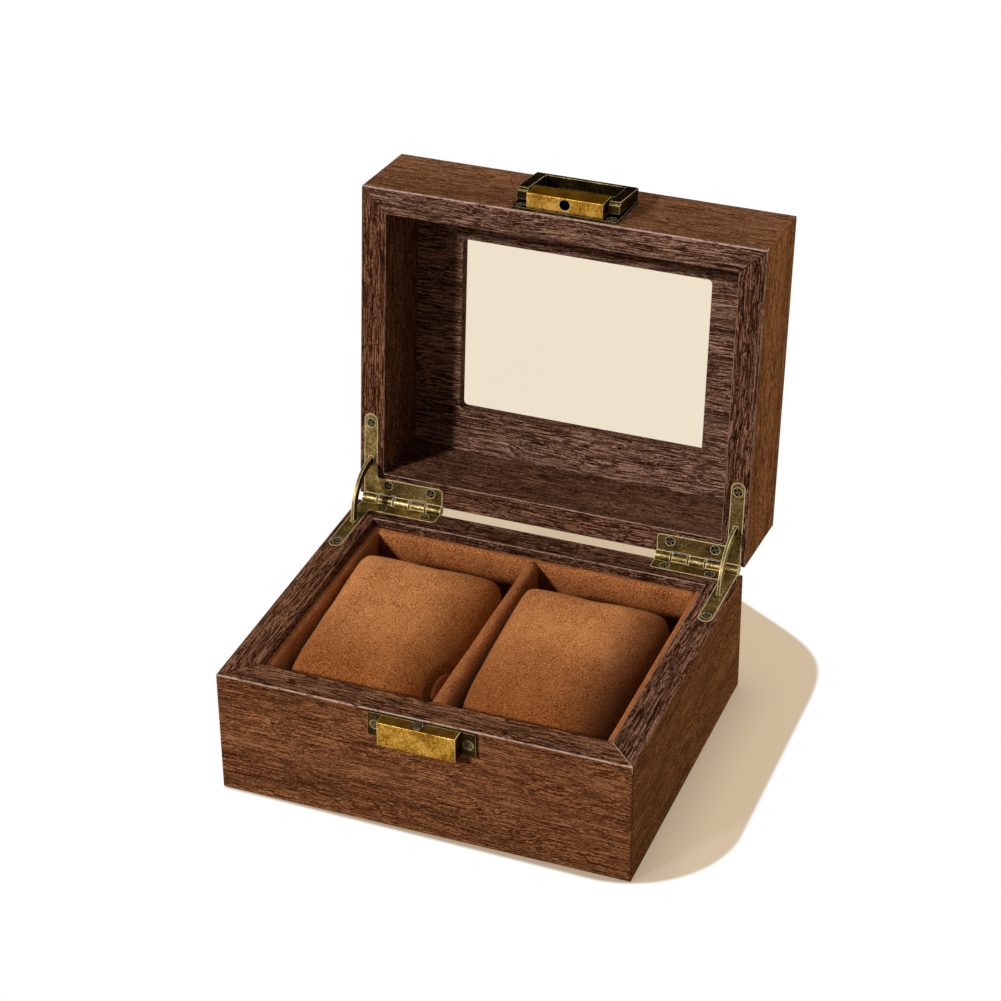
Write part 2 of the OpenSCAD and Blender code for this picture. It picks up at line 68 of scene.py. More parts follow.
camera_data = bpy.data.cameras.new("camera")
camera_data.sensor_width = 36
camera_data.lens = focal_px / picture_px * camera_data.sensor_width
camera_data.clip_end = 20
camera = bpy.data.objects.new("camera", camera_data)
camera.matrix_world = (
    Matrix.Translation(camera_place)
    @ Matrix.Rotation(camera_round, 4, "Z")
    @ Matrix.Rotation(math.pi / 2 - camera_down, 4, "X")
    @ Matrix.Rotation(camera_roll, 4, "Z")
)
bpy.context.scene.collection.objects.link(camera)
bpy.context.scene.camera = camera
bpy.context.scene.view_settings.view_transform = "Standard"


def lamp(name, kind, travel, strength, place=(0, 0, 0), **settings):
    """A lamp that shines along travel."""
    data = bpy.data.lights.new(name, kind)
    data.energy = strength
    for key, value in settings.items():
        setattr(data, key, value)
    made = bpy.data.objects.new(name, data)
    made.rotation_euler = Vector(travel).to_track_quat("-Z", "Y").to_euler()
    made.location = place
    made.visible_transmission = False
    bpy.context.scene.collection.objects.link(made)


lamp("key", "SUN", (0.4385, 0.749, -0.497), 2.8, angle=math.radians(6))
lamp("fill", "AREA", (-0.26, -0.33, -0.90), 4.4, place=(0.35, 0.45, 1.25),
     shape="DISK", size=0.9)
lamp("side", "AREA", (-0.80, -0.59, -0.12), 1.55, place=(0.37, 0.36, 0.17),
     shape="DISK", size=0.3)


def feed(tree, node, sockets):
    """Sets or links a node's sockets."""
    for key, value in sockets.items():
        if isinstance(value, bpy.types.NodeSocket):
            tree.links.new(value, node.inputs[key])
        else:
            node.inputs[key].default_value = value


def put(tree, kind, sockets=None, **settings):
    """A new node, with its sockets set or linked, and its settings."""
    made = tree.nodes.new(kind)
    for key, value in settings.items():
        setattr(made, key, value)
    feed(tree, made, sockets or {})
    return made


def maths(tree, operation, *values, clamp=False):
    """The result of one Math node."""
    made = put(tree, "ShaderNodeMath", dict(enumerate(values)), operation=operation)
    made.use_clamp = clamp
    return made.outputs[0]


def mixed(tree, factor, first, second):
    """The first shader where factor is zero, and the second where it is one."""
    return put(tree, "ShaderNodeMixShader", {0: factor, 1: first, 2: second}).outputs[0]


def looks(tree):
    """One for rays from the camera, from a reflection, and seen straight through glass."""
    light = put(tree, "ShaderNodeLightPath")
    straight = maths(tree, "LESS_THAN", light.outputs["Diffuse Depth"], 0.5)
    return [light.outputs["Is Camera Ray"], light.outputs["Is Glossy Ray"],
            maths(tree, "MULTIPLY", light.outputs["Is Transmission Ray"], straight)]


# The sky lights the box dimly, is a little brighter in its metal, and is plain white to the eye
paper_white = (1, 1, 1, 1)
sky = bpy.data.worlds.new("sky")
bpy.context.scene.world = sky
sky.use_nodes = True
tree = sky.node_tree
tree.nodes.clear()
direct, mirrored, through = looks(tree)
dim = put(tree, "ShaderNodeBackground", {"Color": (1, 0.90, 0.76, 1), "Strength": 0.165})
gleam = put(tree, "ShaderNodeBackground", {"Color": (1, 0.97, 0.90, 1), "Strength": 0.29})
white = put(tree, "ShaderNodeBackground", {"Color": paper_white, "Strength": 1.0})
around = mixed(tree, mirrored, dim.outputs[0], gleam.outputs[0])
around = mixed(tree, maths(tree, "MAXIMUM", direct, through), around, white.outputs[0])
put(tree, "ShaderNodeOutputWorld", {"Surface": around})

# ---- Paper under the box ----------------------------------------------------------------
# A wide sheet of white paper. Behind the box and on its right a warm shade is painted on it,
# which ends in a round corner in front, along a slanting edge behind and in line with the left
# side.
paper_reach = 6
paper_sink = 0.00005
# The shade's limits, and where its round corner begins on the right and in front
shade_left = -0.0795
shade_right = 0.0645
shade_front = -0.0221
shade_front_slope = 0.018
shade_corner = 0.045
# The slanting edge, with what brings a distance from it to true length
shade_back = 0.162
shade_back_slope = 0.62
shade_back_scale = 0.85
shade_back_blend = 0.03
# The shade fades to white between these distances from its outline
shade_edge = (-0.0016, 0.0004)
shade_glow = (0.565, 0.430, 0.282, 1)
# The painted shade is darker where the box stands close over it
contact_reach = 0.02
contact_dark = 0.62

paper_mesh = bpy.data.meshes.new("floor")
shape = bmesh.new()
bmesh.ops.create_grid(shape, x_segments=1, y_segments=1, size=paper_reach)
bmesh.ops.translate(shape, verts=shape.verts, vec=(0, 0, -paper_sink))
shape.to_mesh(paper_mesh)
shape.free()
paper = bpy.data.objects.new("floor", paper_mesh)
bpy.context.scene.collection.objects.link(paper)


def past_shade(tree):
    """How far a point of the paper lies outside the shade, or less than zero within it."""
    place = put(tree, "ShaderNodeNewGeometry").outputs["Position"]
    place = put(tree, "ShaderNodeSeparateXYZ", {0: place})
    x, y = place.outputs["X"], place.outputs["Y"]
    right = maths(tree, "MAXIMUM", maths(tree, "SUBTRACT", x, shade_right), 0.0)
    front = maths(tree, "MULTIPLY_ADD", x, shade_front_slope, y)
    front = maths(tree, "MAXIMUM", maths(tree, "SUBTRACT", shade_front, front), 0.0)
    corner = maths(tree, "ADD", maths(tree, "MULTIPLY", right, right),
                   maths(tree, "MULTIPLY", front, front))
    corner = maths(tree, "SUBTRACT", maths(tree, "SQRT", corner), shade_corner)
    back = maths(tree, "MULTIPLY_ADD", x, shade_back_slope, y)
    back = maths(tree, "MULTIPLY", maths(tree, "SUBTRACT", back, shade_back), shade_back_scale)
    past = maths(tree, "SMOOTH_MAX", corner, back, shade_back_blend)
    return maths(tree, "MAXIMUM", past, maths(tree, "SUBTRACT", shade_left, x))


def smooth_step(tree, value, start, end):
    """From 0 at start to 1 at end, eased at both."""
    made = put(tree, "ShaderNodeMapRange", {"Value": value, "From Min": start, "From Max": end},
               interpolation_type="SMOOTHSTEP")
    return made.outputs[0]


# The paper sends a soft grey light back to the box and is warm and bright in its metal
paper_paint = bpy.data.materials.new("floor_paint")
paper_paint.use_nodes = True
tree = paper_paint.node_tree
tree.nodes.clear()
direct, mirrored, through = looks(tree)
plain = put(tree, "ShaderNodeBsdfDiffuse", {"Color": (0.36, 0.33, 0.28, 1)}).outputs[0]
white = put(tree, "ShaderNodeEmission", {"Color": paper_white, "Strength": 1.0}).outputs[0]
bright = put(tree, "ShaderNodeEmission", {"Color": (1.0, 0.90, 0.74, 1), "Strength": 1.0})
lit = put(tree, "ShaderNodeBsdfDiffuse", {"Color": (0.10, 0.10, 0.09, 1)}).outputs[0]
contact = put(tree, "ShaderNodeAmbientOcclusion", {"Distance": contact_reach}).outputs["AO"]
contact = put(tree, "ShaderNodeMapRange", {"Value": contact, "From Min": 0.4, "From Max": 1.0,
                                            "To Min": contact_dark, "To Max": 1.0}).outputs[0]
glow = put(tree, "ShaderNodeEmission", {"Color": shade_glow, "Strength": contact}).outputs[0]
shade = put(tree, "ShaderNodeAddShader", {0: lit, 1: glow}).outputs[0]
seen = mixed(tree, smooth_step(tree, past_shade(tree), *shade_edge), shade, white)
seen = mixed(tree, direct, plain, seen)
seen = mixed(tree, mirrored, seen, bright.outputs[0])
seen = mixed(tree, through, seen, white)
put(tree, "ShaderNodeOutputMaterial", {"Surface": seen})
paper_mesh.materials.append(paper_paint)

# ---- Base boards ------------------------------------------------------------------------
# Four boards of dark, open-grained walnut veneer on a core, mitred at the corners and glued
# round a thin floor board. The grain runs along each board, and the sharp edges have been
# eased and painted pale in patches, partly as wear and partly as painted highlight.
lid_hinge = next(joint for joint in frame["joints"] if joint["name"] == "lid_hinge")
hinge_line = Vector(lid_hinge["pos_m"])
half_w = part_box("base_right")[1].x
half_d = -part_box("base_front")[0].y
# Surfaces that lie less than this far inside the box's outline are outer ones
skin_depth = 0.0035
# Marks fade in between these distances from the plane where the rims meet, and from a mitre
rim_reach = (0.004, 0.003)
mitre_reach = (0.0004, 0.0002)
grain_relief = 0.00030


def rgb(red, green, blue):
    """A colour written in screen values from 0 to 255, as the renderer wants it."""
    def linear(value):
        value /= 255
        return value / 12.92 if value <= 0.04045 else ((value + 0.055) / 1.055) ** 2.4
    return (linear(red), linear(green), linear(blue), 1)


def new_material(name):
    """A new material, its node tree and its surface shader."""
    material = bpy.data.materials.new(name)
    material.use_nodes = True
    return material, material.node_tree, material.node_tree.nodes["Principled BSDF"]


def ramp(tree, value, *stops):
    """A colour ramp of (place, colour) stops."""
    made = put(tree, "ShaderNodeValToRGB", {"Fac": value})
    points = made.color_ramp.elements
    while len(points) < len(stops):
        points.new(0.5)
    for point, (place, colour) in zip(points, stops):
        point.position = place
        point.color = colour
    return made.outputs["Color"]


def stretched(tree, where, scale, **sockets):
    """Noise with its own scale along each axis, from 0 to 1."""
    place = put(tree, "ShaderNodeMapping", {"Vector": where, "Scale": scale})
    made = put(tree, "ShaderNodeTexNoise", {"Vector": place.outputs[0], "Scale": 1, **sockets})
    return made.outputs["Fac"]


def blend(tree, factor, under, over, kind="MIX"):
    """Two colours mixed."""
    made = put(tree, "ShaderNodeMix", data_type="RGBA", blend_type=kind)
    feed(tree, made, {0: factor, 6: under, 7: over})
    return made.outputs[2]


def line(tree, value, width):
    """One along the thin wandering lines where a noise crosses its middle."""
    off = maths(tree, "ABSOLUTE", maths(tree, "SUBTRACT", value, 0.5))
    return maths(tree, "SUBTRACT", 1.0, maths(tree, "DIVIDE", off, width), clamp=True)


def tones(tree, *parts):
    """Noises put together round one half, each with its own strength."""
    total = 0.5
    for value, strength in parts:
        total = maths(tree, "MULTIPLY_ADD", maths(tree, "SUBTRACT", value, 0.5), strength, total)
    return total


# The dark, middle and pale tones of each veneer. Besides the wood's own tone they hold painted
# light: the pale tones of the rim woods stand partly for painted sheen on the ridges, and
# top_wood, side_wood, warm_wood and cool_wood are lighter and darker copies matched to how the
# light falls on the faces that use them.
face_wood = (rgb(56, 29, 14), rgb(105, 62, 36), rgb(164, 108, 71))
rim_wood = (rgb(32, 17, 10), rgb(79, 48, 33), rgb(156, 113, 88))
cool_wood = (rgb(40, 23, 16), rgb(96, 64, 49), rgb(176, 136, 114))
warm_wood = (rgb(40, 21, 11), rgb(91, 55, 36), rgb(166, 118, 87))
side_wood = (rgb(58, 32, 13), rgb(98, 60, 31), rgb(146, 96, 58))
top_wood = (rgb(68, 39, 21), rgb(111, 72, 47), rgb(164, 115, 82))
# Pale edge colour, partly wear and partly painted highlight
wear_and_highlight_wood = rgb(206, 176, 160)
glue_line = rgb(214, 190, 158)


def wood_tones(tree, figure, wood):
    """The dark, middle and pale tones of a wood, laid over a figure from 0 to 1."""
    return ramp(tree, figure, *zip((0.05, 0.5, 0.95), wood))


def walnut_grain(tree, turned):
    """The marks of grain that runs along x: broad bands, fine fibres, thin scratches, and
    the gouges of open pores."""
    drift = tones(tree, (stretched(tree, turned, (14, 45, 45), Detail=2.0), 0.010),
                  (stretched(tree, turned, (110, 160, 160), Detail=1.0), 0.0012))
    push = put(tree, "ShaderNodeCombineXYZ", {"X": 0.0, "Y": drift, "Z": drift})
    grain = put(tree, "ShaderNodeVectorMath", {0: turned, 1: push.outputs[0]},
                operation="ADD").outputs[0]
    band = stretched(tree, grain, (6, 80, 80), Detail=2.0)
    streak = stretched(tree, grain, (55, 3100, 3100), Detail=0.0)
    dash = stretched(tree, grain, (900, 3500, 3500), Detail=0.0)
    fibre = tones(tree, (streak, 1.6), (dash, 1.2))
    scratch = line(tree, stretched(tree, grain, (60, 900, 900), Detail=1.0), 0.035)
    gouge = line(tree, stretched(tree, grain, (45, 1000, 1000), Detail=1.0), 0.08)
    return band, fibre, scratch, gouge


def rubbed_pale_and_highlit(tree, colour, where, facing, outer, near_rim, rub_and_highlight):
    """Paints a rim's rounded edges pale in patches, partly as wear and partly as painted
    highlight, by rub_and_highlight[0] outside and rub_and_highlight[1] inside.
    """
    flattest = maths(tree, "ABSOLUTE", facing.outputs["Z"])
    for side in ("X", "Y"):
        flattest = maths(tree, "MAXIMUM", flattest,
                         maths(tree, "ABSOLUTE", facing.outputs[side]))
    rounded = smooth_step(tree, flattest, 0.92, 0.80)
    spots = stretched(tree, where, (300, 300, 300), Detail=3.0, Roughness=0.7)
    wear_and_highlight = maths(tree, "MULTIPLY_ADD", outer, rub_and_highlight[0] - rub_and_highlight[1], rub_and_highlight[1])
    wear_and_highlight = maths(tree, "MULTIPLY", wear_and_highlight, smooth_step(tree, spots, 0.26, 0.55))
    wear_and_highlight = maths(tree, "MULTIPLY", wear_and_highlight, maths(tree, "MULTIPLY", near_rim, rounded))
    return blend(tree, wear_and_highlight, colour, wear_and_highlight_wood)


def walnut(name, along, shut=None, shift=0.0, face=face_wood, force=1.0, rim=rim_wood,
           rub_and_highlight=(0, 0), glue=0):
    """Walnut veneer with its grain along x or y of the shut box. The rims have a coarser
    figure than the faces, and the faces inside the box share their wood. force is how strong
    the figure of the faces is, rub_and_highlight how pale the outer and inner edges of the rim
    are painted, partly as wear and partly as painted highlight, and glue how open the mitre on
    the right is."""
    material, tree, skin = new_material(name)
    here = put(tree, "ShaderNodeTexCoord")
    where, facing = here.outputs["Object"], here.outputs["Normal"]
    if shut:
        turn = shut.to_euler()
        where = put(tree, "ShaderNodeMapping", {
            "Vector": where, "Location": shut.to_translation(), "Rotation": turn}).outputs[0]
        facing = put(tree, "ShaderNodeMapping", {"Vector": facing, "Rotation": turn},
                     vector_type="VECTOR").outputs[0]
    turned = put(tree, "ShaderNodeMapping", {
        "Vector": where, "Location": (shift, shift * 0.7, shift * 0.3),
        "Rotation": (0, 0, 0 if along == "x" else -math.pi / 2)}).outputs[0]
    band, fibre, scratch, gouge = walnut_grain(tree, turned)

    figure = tones(tree, (band, 0.65), (fibre, 1.05))
    figure = maths(tree, "MULTIPLY_ADD", scratch, -0.12, figure)
    figure = maths(tree, "MULTIPLY_ADD", maths(tree, "SUBTRACT", figure, 0.5), force, 0.55)
    place = put(tree, "ShaderNodeSeparateXYZ", {0: where})
    out_x = maths(tree, "SUBTRACT", maths(tree, "ABSOLUTE", place.outputs["X"]), half_w)
    out_y = maths(tree, "SUBTRACT", maths(tree, "ABSOLUTE", place.outputs["Y"]), half_d)
    outer = maths(tree, "GREATER_THAN", maths(tree, "MAXIMUM", out_x, out_y), -skin_depth)
    on_face = blend(tree, outer, wood_tones(tree, figure, rim), wood_tones(tree, figure, face))

    ridge = tones(tree, (band, 0.5), (fibre, 0.8))
    for mark, strength in ((gouge, -0.55), (scratch, -0.30)):
        ridge = maths(tree, "MULTIPLY_ADD", mark, strength, ridge)
    on_rim = wood_tones(tree, maths(tree, "ADD", ridge, 0.20), rim)

    facing = put(tree, "ShaderNodeSeparateXYZ", {0: facing})
    level = maths(tree, "ABSOLUTE", facing.outputs["Z"])
    upward = smooth_step(tree, level, 0.45, 0.75)
    colour = blend(tree, upward, on_face, on_rim)
    height = maths(tree, "MULTIPLY_ADD", gouge, maths(tree, "MULTIPLY", upward, -0.3), fibre)

    rim_off = maths(tree, "ABSOLUTE", maths(tree, "SUBTRACT", place.outputs["Z"], hinge_line.z))
    near_rim = smooth_step(tree, rim_off, *rim_reach)
    mitre = maths(tree, "ABSOLUTE", maths(tree, "SUBTRACT", out_x, out_y))
    mitre = maths(tree, "MULTIPLY", smooth_step(tree, mitre, *mitre_reach), near_rim)
    colour = blend(tree, maths(tree, "MULTIPLY", mitre, 0.6), colour, rim_wood[0])
    if glue:
        opened = maths(tree, "MULTIPLY", mitre, smooth_step(tree, place.outputs["X"], 0, 0.01))
        colour = blend(tree, maths(tree, "MULTIPLY", opened, glue), colour, glue_line)
    if any(rub_and_highlight):
        colour = rubbed_pale_and_highlit(tree, colour, where, facing, outer, near_rim, rub_and_highlight)

    bump = put(tree, "ShaderNodeBump", {"Height": height, "Strength": 1.0,
                                         "Distance": grain_relief})
    feed(tree, skin, {"Base Color": colour, "Normal": bump.outputs[0], "Roughness": 0.6,
                      "Specular IOR Level": 0.0})
    return material


def finish(material, node):
    """Gives a CAD node its material."""
    nodes[node].data.materials.clear()
    nodes[node].data.materials.append(material)


finish(walnut("walnut_base_front", "x", shift=0.03, rim=warm_wood, rub_and_highlight=(0.85, 0.3), glue=0.9),
       "base_front")
finish(walnut("walnut_base_back", "x", shift=0.31, rub_and_highlight=(0.2, 0.7)), "base_back")
finish(walnut("walnut_base_left", "y", shift=0.57, rim=warm_wood, rub_and_highlight=(0.2, 0.3)), "base_left")
finish(walnut("walnut_base_right", "y", shift=0.83, face=side_wood, force=0.8, rub_and_highlight=(0, 0.8)),
       "base_right")
finish(walnut("walnut_floor", "x", shift=2.6), "base_floor")

# ---- Lid boards, window panel and glass ---------------------------------------------------
# The panel carries one grain right across, with the window cut through it, and the pane is
# dropped into a rabbet from outside. The glass has the faint warm cast of old stock.
lid_open = math.radians(lid_hinge["range_deg"][1])
lid_shut = (Matrix.Translation(hinge_line) @ Matrix.Rotation(lid_open, 4, "X")
            @ Matrix.Translation(-hinge_line))
finish(walnut("walnut_lid_front", "x", lid_shut, 1.19, top_wood, 1.0, cool_wood, (0.9, 0.2)),
       "lid_front")
finish(walnut("walnut_lid_back", "x", lid_shut, 1.37, face_wood, 0.9, rim_wood, (0.3, 0.7)),
       "lid_back")
finish(walnut("walnut_lid_left", "y", lid_shut, 1.61, face_wood, 0.9, warm_wood, (0.2, 0.5)),
       "lid_left")
finish(walnut("walnut_lid_right", "y", lid_shut, 1.89, side_wood, 1.3, rim_wood, (0.3, 0.5)),
       "lid_right")
finish(walnut("walnut_panel", "x", lid_shut, 2.17, rim=cool_wood), "lid_panel")

glass, tree, skin = new_material("pane_glass")
feed(tree, skin, {"Base Color": (0.86, 0.76, 0.60, 1), "Roughness": 0.0, "IOR": 1.45,
                  "Specular Tint": (0, 0, 0, 1), "Transmission Weight": 1.0})
finish(glass, "window_glass")

# ---- Lining -------------------------------------------------------------------------------
# Thin boards wrapped in brown suede stand round the inside of the base on a suede-covered
# floor board, and a thicker one parts the two slots. The suede is drawn round over the tops.
lining_round = 0.46
lining_cuts = 48
# Where the painted shade on the lining begins, darker downwards, and where it is darkest
lining_fall = (0.047, 0.032)
lining_shade = (0.45, 0.34, 0.22, 1)
# The padding's unevenness along the tops
ripple_height = 0.0004
ripple_scale = 60
ripple_level = 0.35
nap_relief = 0.00022
# Lengths under this count as none
tiny = 1e-6


def suede(name, deep, pale, painted_shading=()):
    """Brushed suede: a mottled short nap that catches light where it is seen edge on.
    painted_shading says where painted shade darkens it: along an axis, from, to, and the shade
    there."""
    material, tree, skin = new_material(name)
    where = put(tree, "ShaderNodeTexCoord").outputs["Object"]
    cloud = stretched(tree, where, (50, 50, 50), Detail=2.0)
    brushed = stretched(tree, where, (230, 170, 230), Detail=2.0)
    tuft = stretched(tree, where, (2300, 2300, 2300), Detail=1.0)
    tone = tones(tree, (cloud, 0.5), (brushed, 0.3), (tuft, 2.4))
    colour = ramp(tree, tone, (0.15, deep), (0.85, pale))
    place = put(tree, "ShaderNodeSeparateXYZ", {0: where})
    for axis, start, end, shade in painted_shading:
        shade_amount = smooth_step(tree, place.outputs[axis], start, end)
        colour = blend(tree, shade_amount, colour, shade, "MULTIPLY")
    bump = put(tree, "ShaderNodeBump", {"Height": tuft, "Strength": 0.8,
                                         "Distance": nap_relief})
    feed(tree, skin, {"Base Color": colour, "Normal": bump.outputs[0], "Roughness": 0.95,
                      "Specular IOR Level": 0.05, "Sheen Weight": 0.25, "Sheen Roughness": 0.5,
                      "Sheen Tint": rgb(226, 150, 90)})
    return material


def piece(name, shape, material, body, replaced):
    """A finished piece made from a bmesh, riding on its body and standing for its CAD node."""
    mesh = bpy.data.meshes.new(name)
    shape.to_mesh(mesh)
    shape.free()
    for face in mesh.polygons:
        face.use_smooth = True
    made = bpy.data.objects.new(name, mesh)
    bpy.context.scene.collection.objects.link(made)
    mesh.materials.append(material)
    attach(made, body)
    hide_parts(replaced)
    return made


def block(low, high):
    """A plain box between two corners."""
    shape = bmesh.new()
    bmesh.ops.create_cube(shape, size=1)
    bmesh.ops.scale(shape, verts=shape.verts, vec=high - low)
    bmesh.ops.translate(shape, verts=shape.verts, vec=(low + high) / 2)
    return shape


def round_edges(shape, edges, radius, segments, **settings):
    """Rounds edges of a shape, and returns what was made."""
    return bmesh.ops.bevel(shape, geom=edges, offset=radius, segments=segments, profile=0.5,
                           affect="EDGES", material=-1, **settings)


def put_in_order(parts, place):
    """Numbers a shape's points or faces by their places, the same way each time."""
    rank = {part: number for number, part in enumerate(sorted(parts, key=place))}
    parts.sort(key=rank.get)


def lining_board(node):
    """A wrapped board: round along its top, and very slightly uneven where it is padded."""
    low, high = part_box(node)
    thick = min(high.x - low.x, high.y - low.y)
    along = Vector((1, 0, 0)) if high.x - low.x > thick * 1.01 else Vector((0, 1, 0))
    shape = block(low, high)
    tops = [edge for edge in shape.edges
            if all(abs(point.co.z - high.z) < tiny for point in edge.verts)
            and abs((edge.verts[1].co - edge.verts[0].co).normalized().dot(along)) > 0.9]
    round_edges(shape, tops, thick * lining_round, 6)
    start = low.dot(along)
    for step in range(1, lining_cuts):
        place = start + (high - low).dot(along) * step / lining_cuts
        bmesh.ops.bisect_plane(shape, geom=shape.verts[:] + shape.edges[:] + shape.faces[:],
                               plane_co=along * place, plane_no=along)
    for point in shape.verts:
        if point.co.z > high.z - thick:
            ripple = noise.noise(point.co * ripple_scale) - ripple_level
            point.co.z += ripple_height * ripple
    put_in_order(shape.verts, lambda point: tuple(point.co))
    put_in_order(shape.faces, lambda face: tuple(face.calc_center_median()))
    return shape


lining_suede = suede("lining_suede", rgb(104, 54, 24), rgb(194, 122, 72),
                     painted_shading=[("Z", *lining_fall, lining_shade)])
for name in ("liner_front", "liner_back", "liner_left", "liner_right", "divider"):
    piece(name + "_suede", lining_board(name), lining_suede, "base", name)
finish(lining_suede, "liner_floor")

# ---- Pillows ------------------------------------------------------------------------------
# Two stuffed pillows of softer, paler suede, each wrapped round its filling with the ends
# tucked in behind. They lie loose in the slots, a little higher at the back than in front.
pillow_middle = {"left": -0.0336, "right": 0.0336}
# The right pillow's tones are the left's painted darker, as painted shade
pillow_dye_and_shade = {"left": (rgb(138, 73, 30), rgb(240, 166, 105)),
              "right": (rgb(126, 65, 25), rgb(222, 150, 92))}
# Where the painted shade begins and is full: across from a pillow's middle to its
# right and left flanks, and along the box to its front
right_flank = (0.004, 0.031)
left_flank = (-0.026, -0.033)
front_end = (0.016, -0.048)
flank_shade = {"left": (0.40, 0.27, 0.12, 1), "right": (0.14, 0.08, 0.03, 1)}
front_shade = (0.48, 0.39, 0.29, 1)
pillow_room = Vector((0.0006, 0.0008, 0.0006))
pillow_slack = 0.0003
pillow_voxel = 0.0017
pillow_pressure = 4
pillow_frames = 16
pillow_smoothing = 14
pillow_swell = 0.0026
pillow_tilt = math.radians(2.2)
# Radius of the edges before they swell, and the bend, in radians, over which an edge is a
# square one
left_roll = 0.0035
right_roll = 0.0050
low_roll = 0.006
end_roll = 0.003
corner_bend = 1
# How far each shoulder drops, at the back and in front, and the front edge between them
left_shoulder = (0.0004, 0.0022)
right_shoulder = (0.0014, 0.0090)
front_drop = 0.0035
# How far the left flank is drawn in at its front end
pillow_waist = {"left": 0.0030, "right": 0.0042}
# The left pillow's lobe, which stands up inside an oval crease, and the finer mesh round it
lobe_x = -0.0034
lobe_y = -0.0315
lobe_half_w = 0.0052
lobe_half_d = 0.0125
lobe_height = 0.0013
crease_depth = 0.0031
crease_width = 0.16
fine_half_w = 0.008
fine_half_d = 0.016


def pillow_cover(side):
    """A pillow's suede, with painted shade down both flanks and towards the front."""
    middle = pillow_middle[side]
    flanks = [("X", middle + start, middle + full, flank_shade[side])
              for start, full in (right_flank, left_flank)]
    return suede("pillow_%s_suede" % side, *pillow_dye_and_shade[side],
                 painted_shading=flanks + [("Y", *front_end, front_shade)])


def runs_back(edge):
    """Whether an edge runs from front to back."""
    return abs(edge.verts[0].co.y - edge.verts[1].co.y) > tiny


def pillow_form(low, high):
    """The stuffed form before it swells: rolled along both sides, tighter at its ends."""
    shape = block(low, high)
    centre = (low + high) / 2
    upper = [edge for edge in shape.edges
             if runs_back(edge) and edge.verts[0].co.z > centre.z]
    for edge in upper:
        roll = left_roll if edge.verts[0].co.x < centre.x else right_roll
        round_edges(shape, [edge], roll, 8)
    lower = [edge for edge in shape.edges if runs_back(edge)
             and edge.verts[0].co.z < low.z + tiny and edge.calc_face_angle() > corner_bend]
    round_edges(shape, lower, low_roll, 4)
    ends = [edge for edge in shape.edges
            if not runs_back(edge) and edge.calc_face_angle() > corner_bend]
    round_edges(shape, ends, end_roll, 4)
    return shape


def current_mesh(thing):
    """A mesh of what an object's modifiers make of it now."""
    return bpy.data.meshes.new_from_object(
        thing.evaluated_get(bpy.context.evaluated_depsgraph_get()))


def stuffed(name, shape):
    """Swells a closed shape as filling does, by cloth pressure, and returns it."""
    mesh = bpy.data.meshes.new(name)
    shape.to_mesh(mesh)
    shape.free()
    cushion = bpy.data.objects.new(name, mesh)
    scene = bpy.context.scene
    scene.collection.objects.link(cushion)
    remesh = cushion.modifiers.new("remesh", "REMESH")
    remesh.mode = "VOXEL"
    remesh.voxel_size = pillow_voxel
    cushion.data = current_mesh(cushion)
    cushion.modifiers.clear()
    flat = [point.co.copy() for point in cushion.data.vertices]
    cloth = cushion.modifiers.new("cloth", "CLOTH")
    cloth.settings.use_pressure = True
    cloth.settings.uniform_pressure_force = pillow_pressure
    cloth.settings.effector_weights.gravity = 0
    for frame_number in range(1, pillow_frames + 1):
        scene.frame_set(frame_number)
    swollen = current_mesh(cushion)
    for point, before, after in zip(cushion.data.vertices, flat, swollen.vertices):
        move = after.co - before
        far = move.length
        if far > 0:
            point.co = before + move * (pillow_swell * math.tanh(far / pillow_swell) / far)
    cushion.modifiers.clear()
    scene.frame_set(1)
    result = bmesh.new()
    result.from_mesh(cushion.data)
    for _ in range(pillow_smoothing):
        bmesh.ops.smooth_vert(result, verts=result.verts, factor=0.5, use_axis_x=True,
                              use_axis_y=True, use_axis_z=True)
    bpy.data.objects.remove(cushion)
    return result


def settle(point, side, low, high):
    """Moves a point of a stuffed pillow as it lies in its slot: leaning back, with sloping
    shoulders, a drawn-in waist and, on the left one, a lobe inside its crease."""
    centre = (low + high) / 2
    lift = (point.co.y - centre.y) * math.tan(pillow_tilt)
    across = (point.co.x - centre.x) / (high.x - low.x) * 2
    ahead = (high.y - point.co.y) / (high.y - low.y)
    share = (point.co.z - low.z) / (high.z - low.z)
    behind, front = right_shoulder if across > 0 else left_shoulder
    drop = (behind + (front - behind) * ahead) * abs(across) ** 3
    drop += front_drop * max(ahead * 2 - 1, 0) ** 2
    if side == "left":
        lobe = math.hypot((point.co.x - lobe_x) / lobe_half_w, (point.co.y - lobe_y) / lobe_half_d)
        drop -= lobe_height * max(1 - lobe ** 2, 0)
        drop += crease_depth * math.exp(-((lobe - 1) / crease_width) ** 2)
    point.co.z += max(share, 0) * (lift - drop)
    point.co.x += max(share, 0) * pillow_waist[side] * max(-across, 0) * max(ahead, 0) ** 4
    point.co.x = min(max(point.co.x, low.x - pillow_slack), high.x + pillow_slack)
    point.co.y = min(max(point.co.y, low.y - pillow_slack), high.y + pillow_slack)
    point.co.z = max(point.co.z, low.z)


for side in ("left", "right"):
    low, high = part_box("pillow_" + side)
    centre = (low + high) / 2
    shape = stuffed("pillow_%s_stuffed" % side, pillow_form(low + pillow_room, high - pillow_room))
    if side == "left":
        fine = [edge for edge in shape.edges
                if all(abs(point.co.x - lobe_x) < fine_half_w
                       and abs(point.co.y - lobe_y) < fine_half_d
                       and point.co.z > centre.z for point in edge.verts)]
        bmesh.ops.subdivide_edges(shape, edges=fine, cuts=3, use_grid_fill=True)
    for point in shape.verts:
        settle(point, side, low, high)
    made = piece("pillow_%s_suede" % side, shape, pillow_cover(side), side + "_pillow",
                 "pillow_" + side)
    finer = made.modifiers.new("finer", "SUBSURF")
    finer.levels = finer.render_levels = 1
    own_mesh(made)

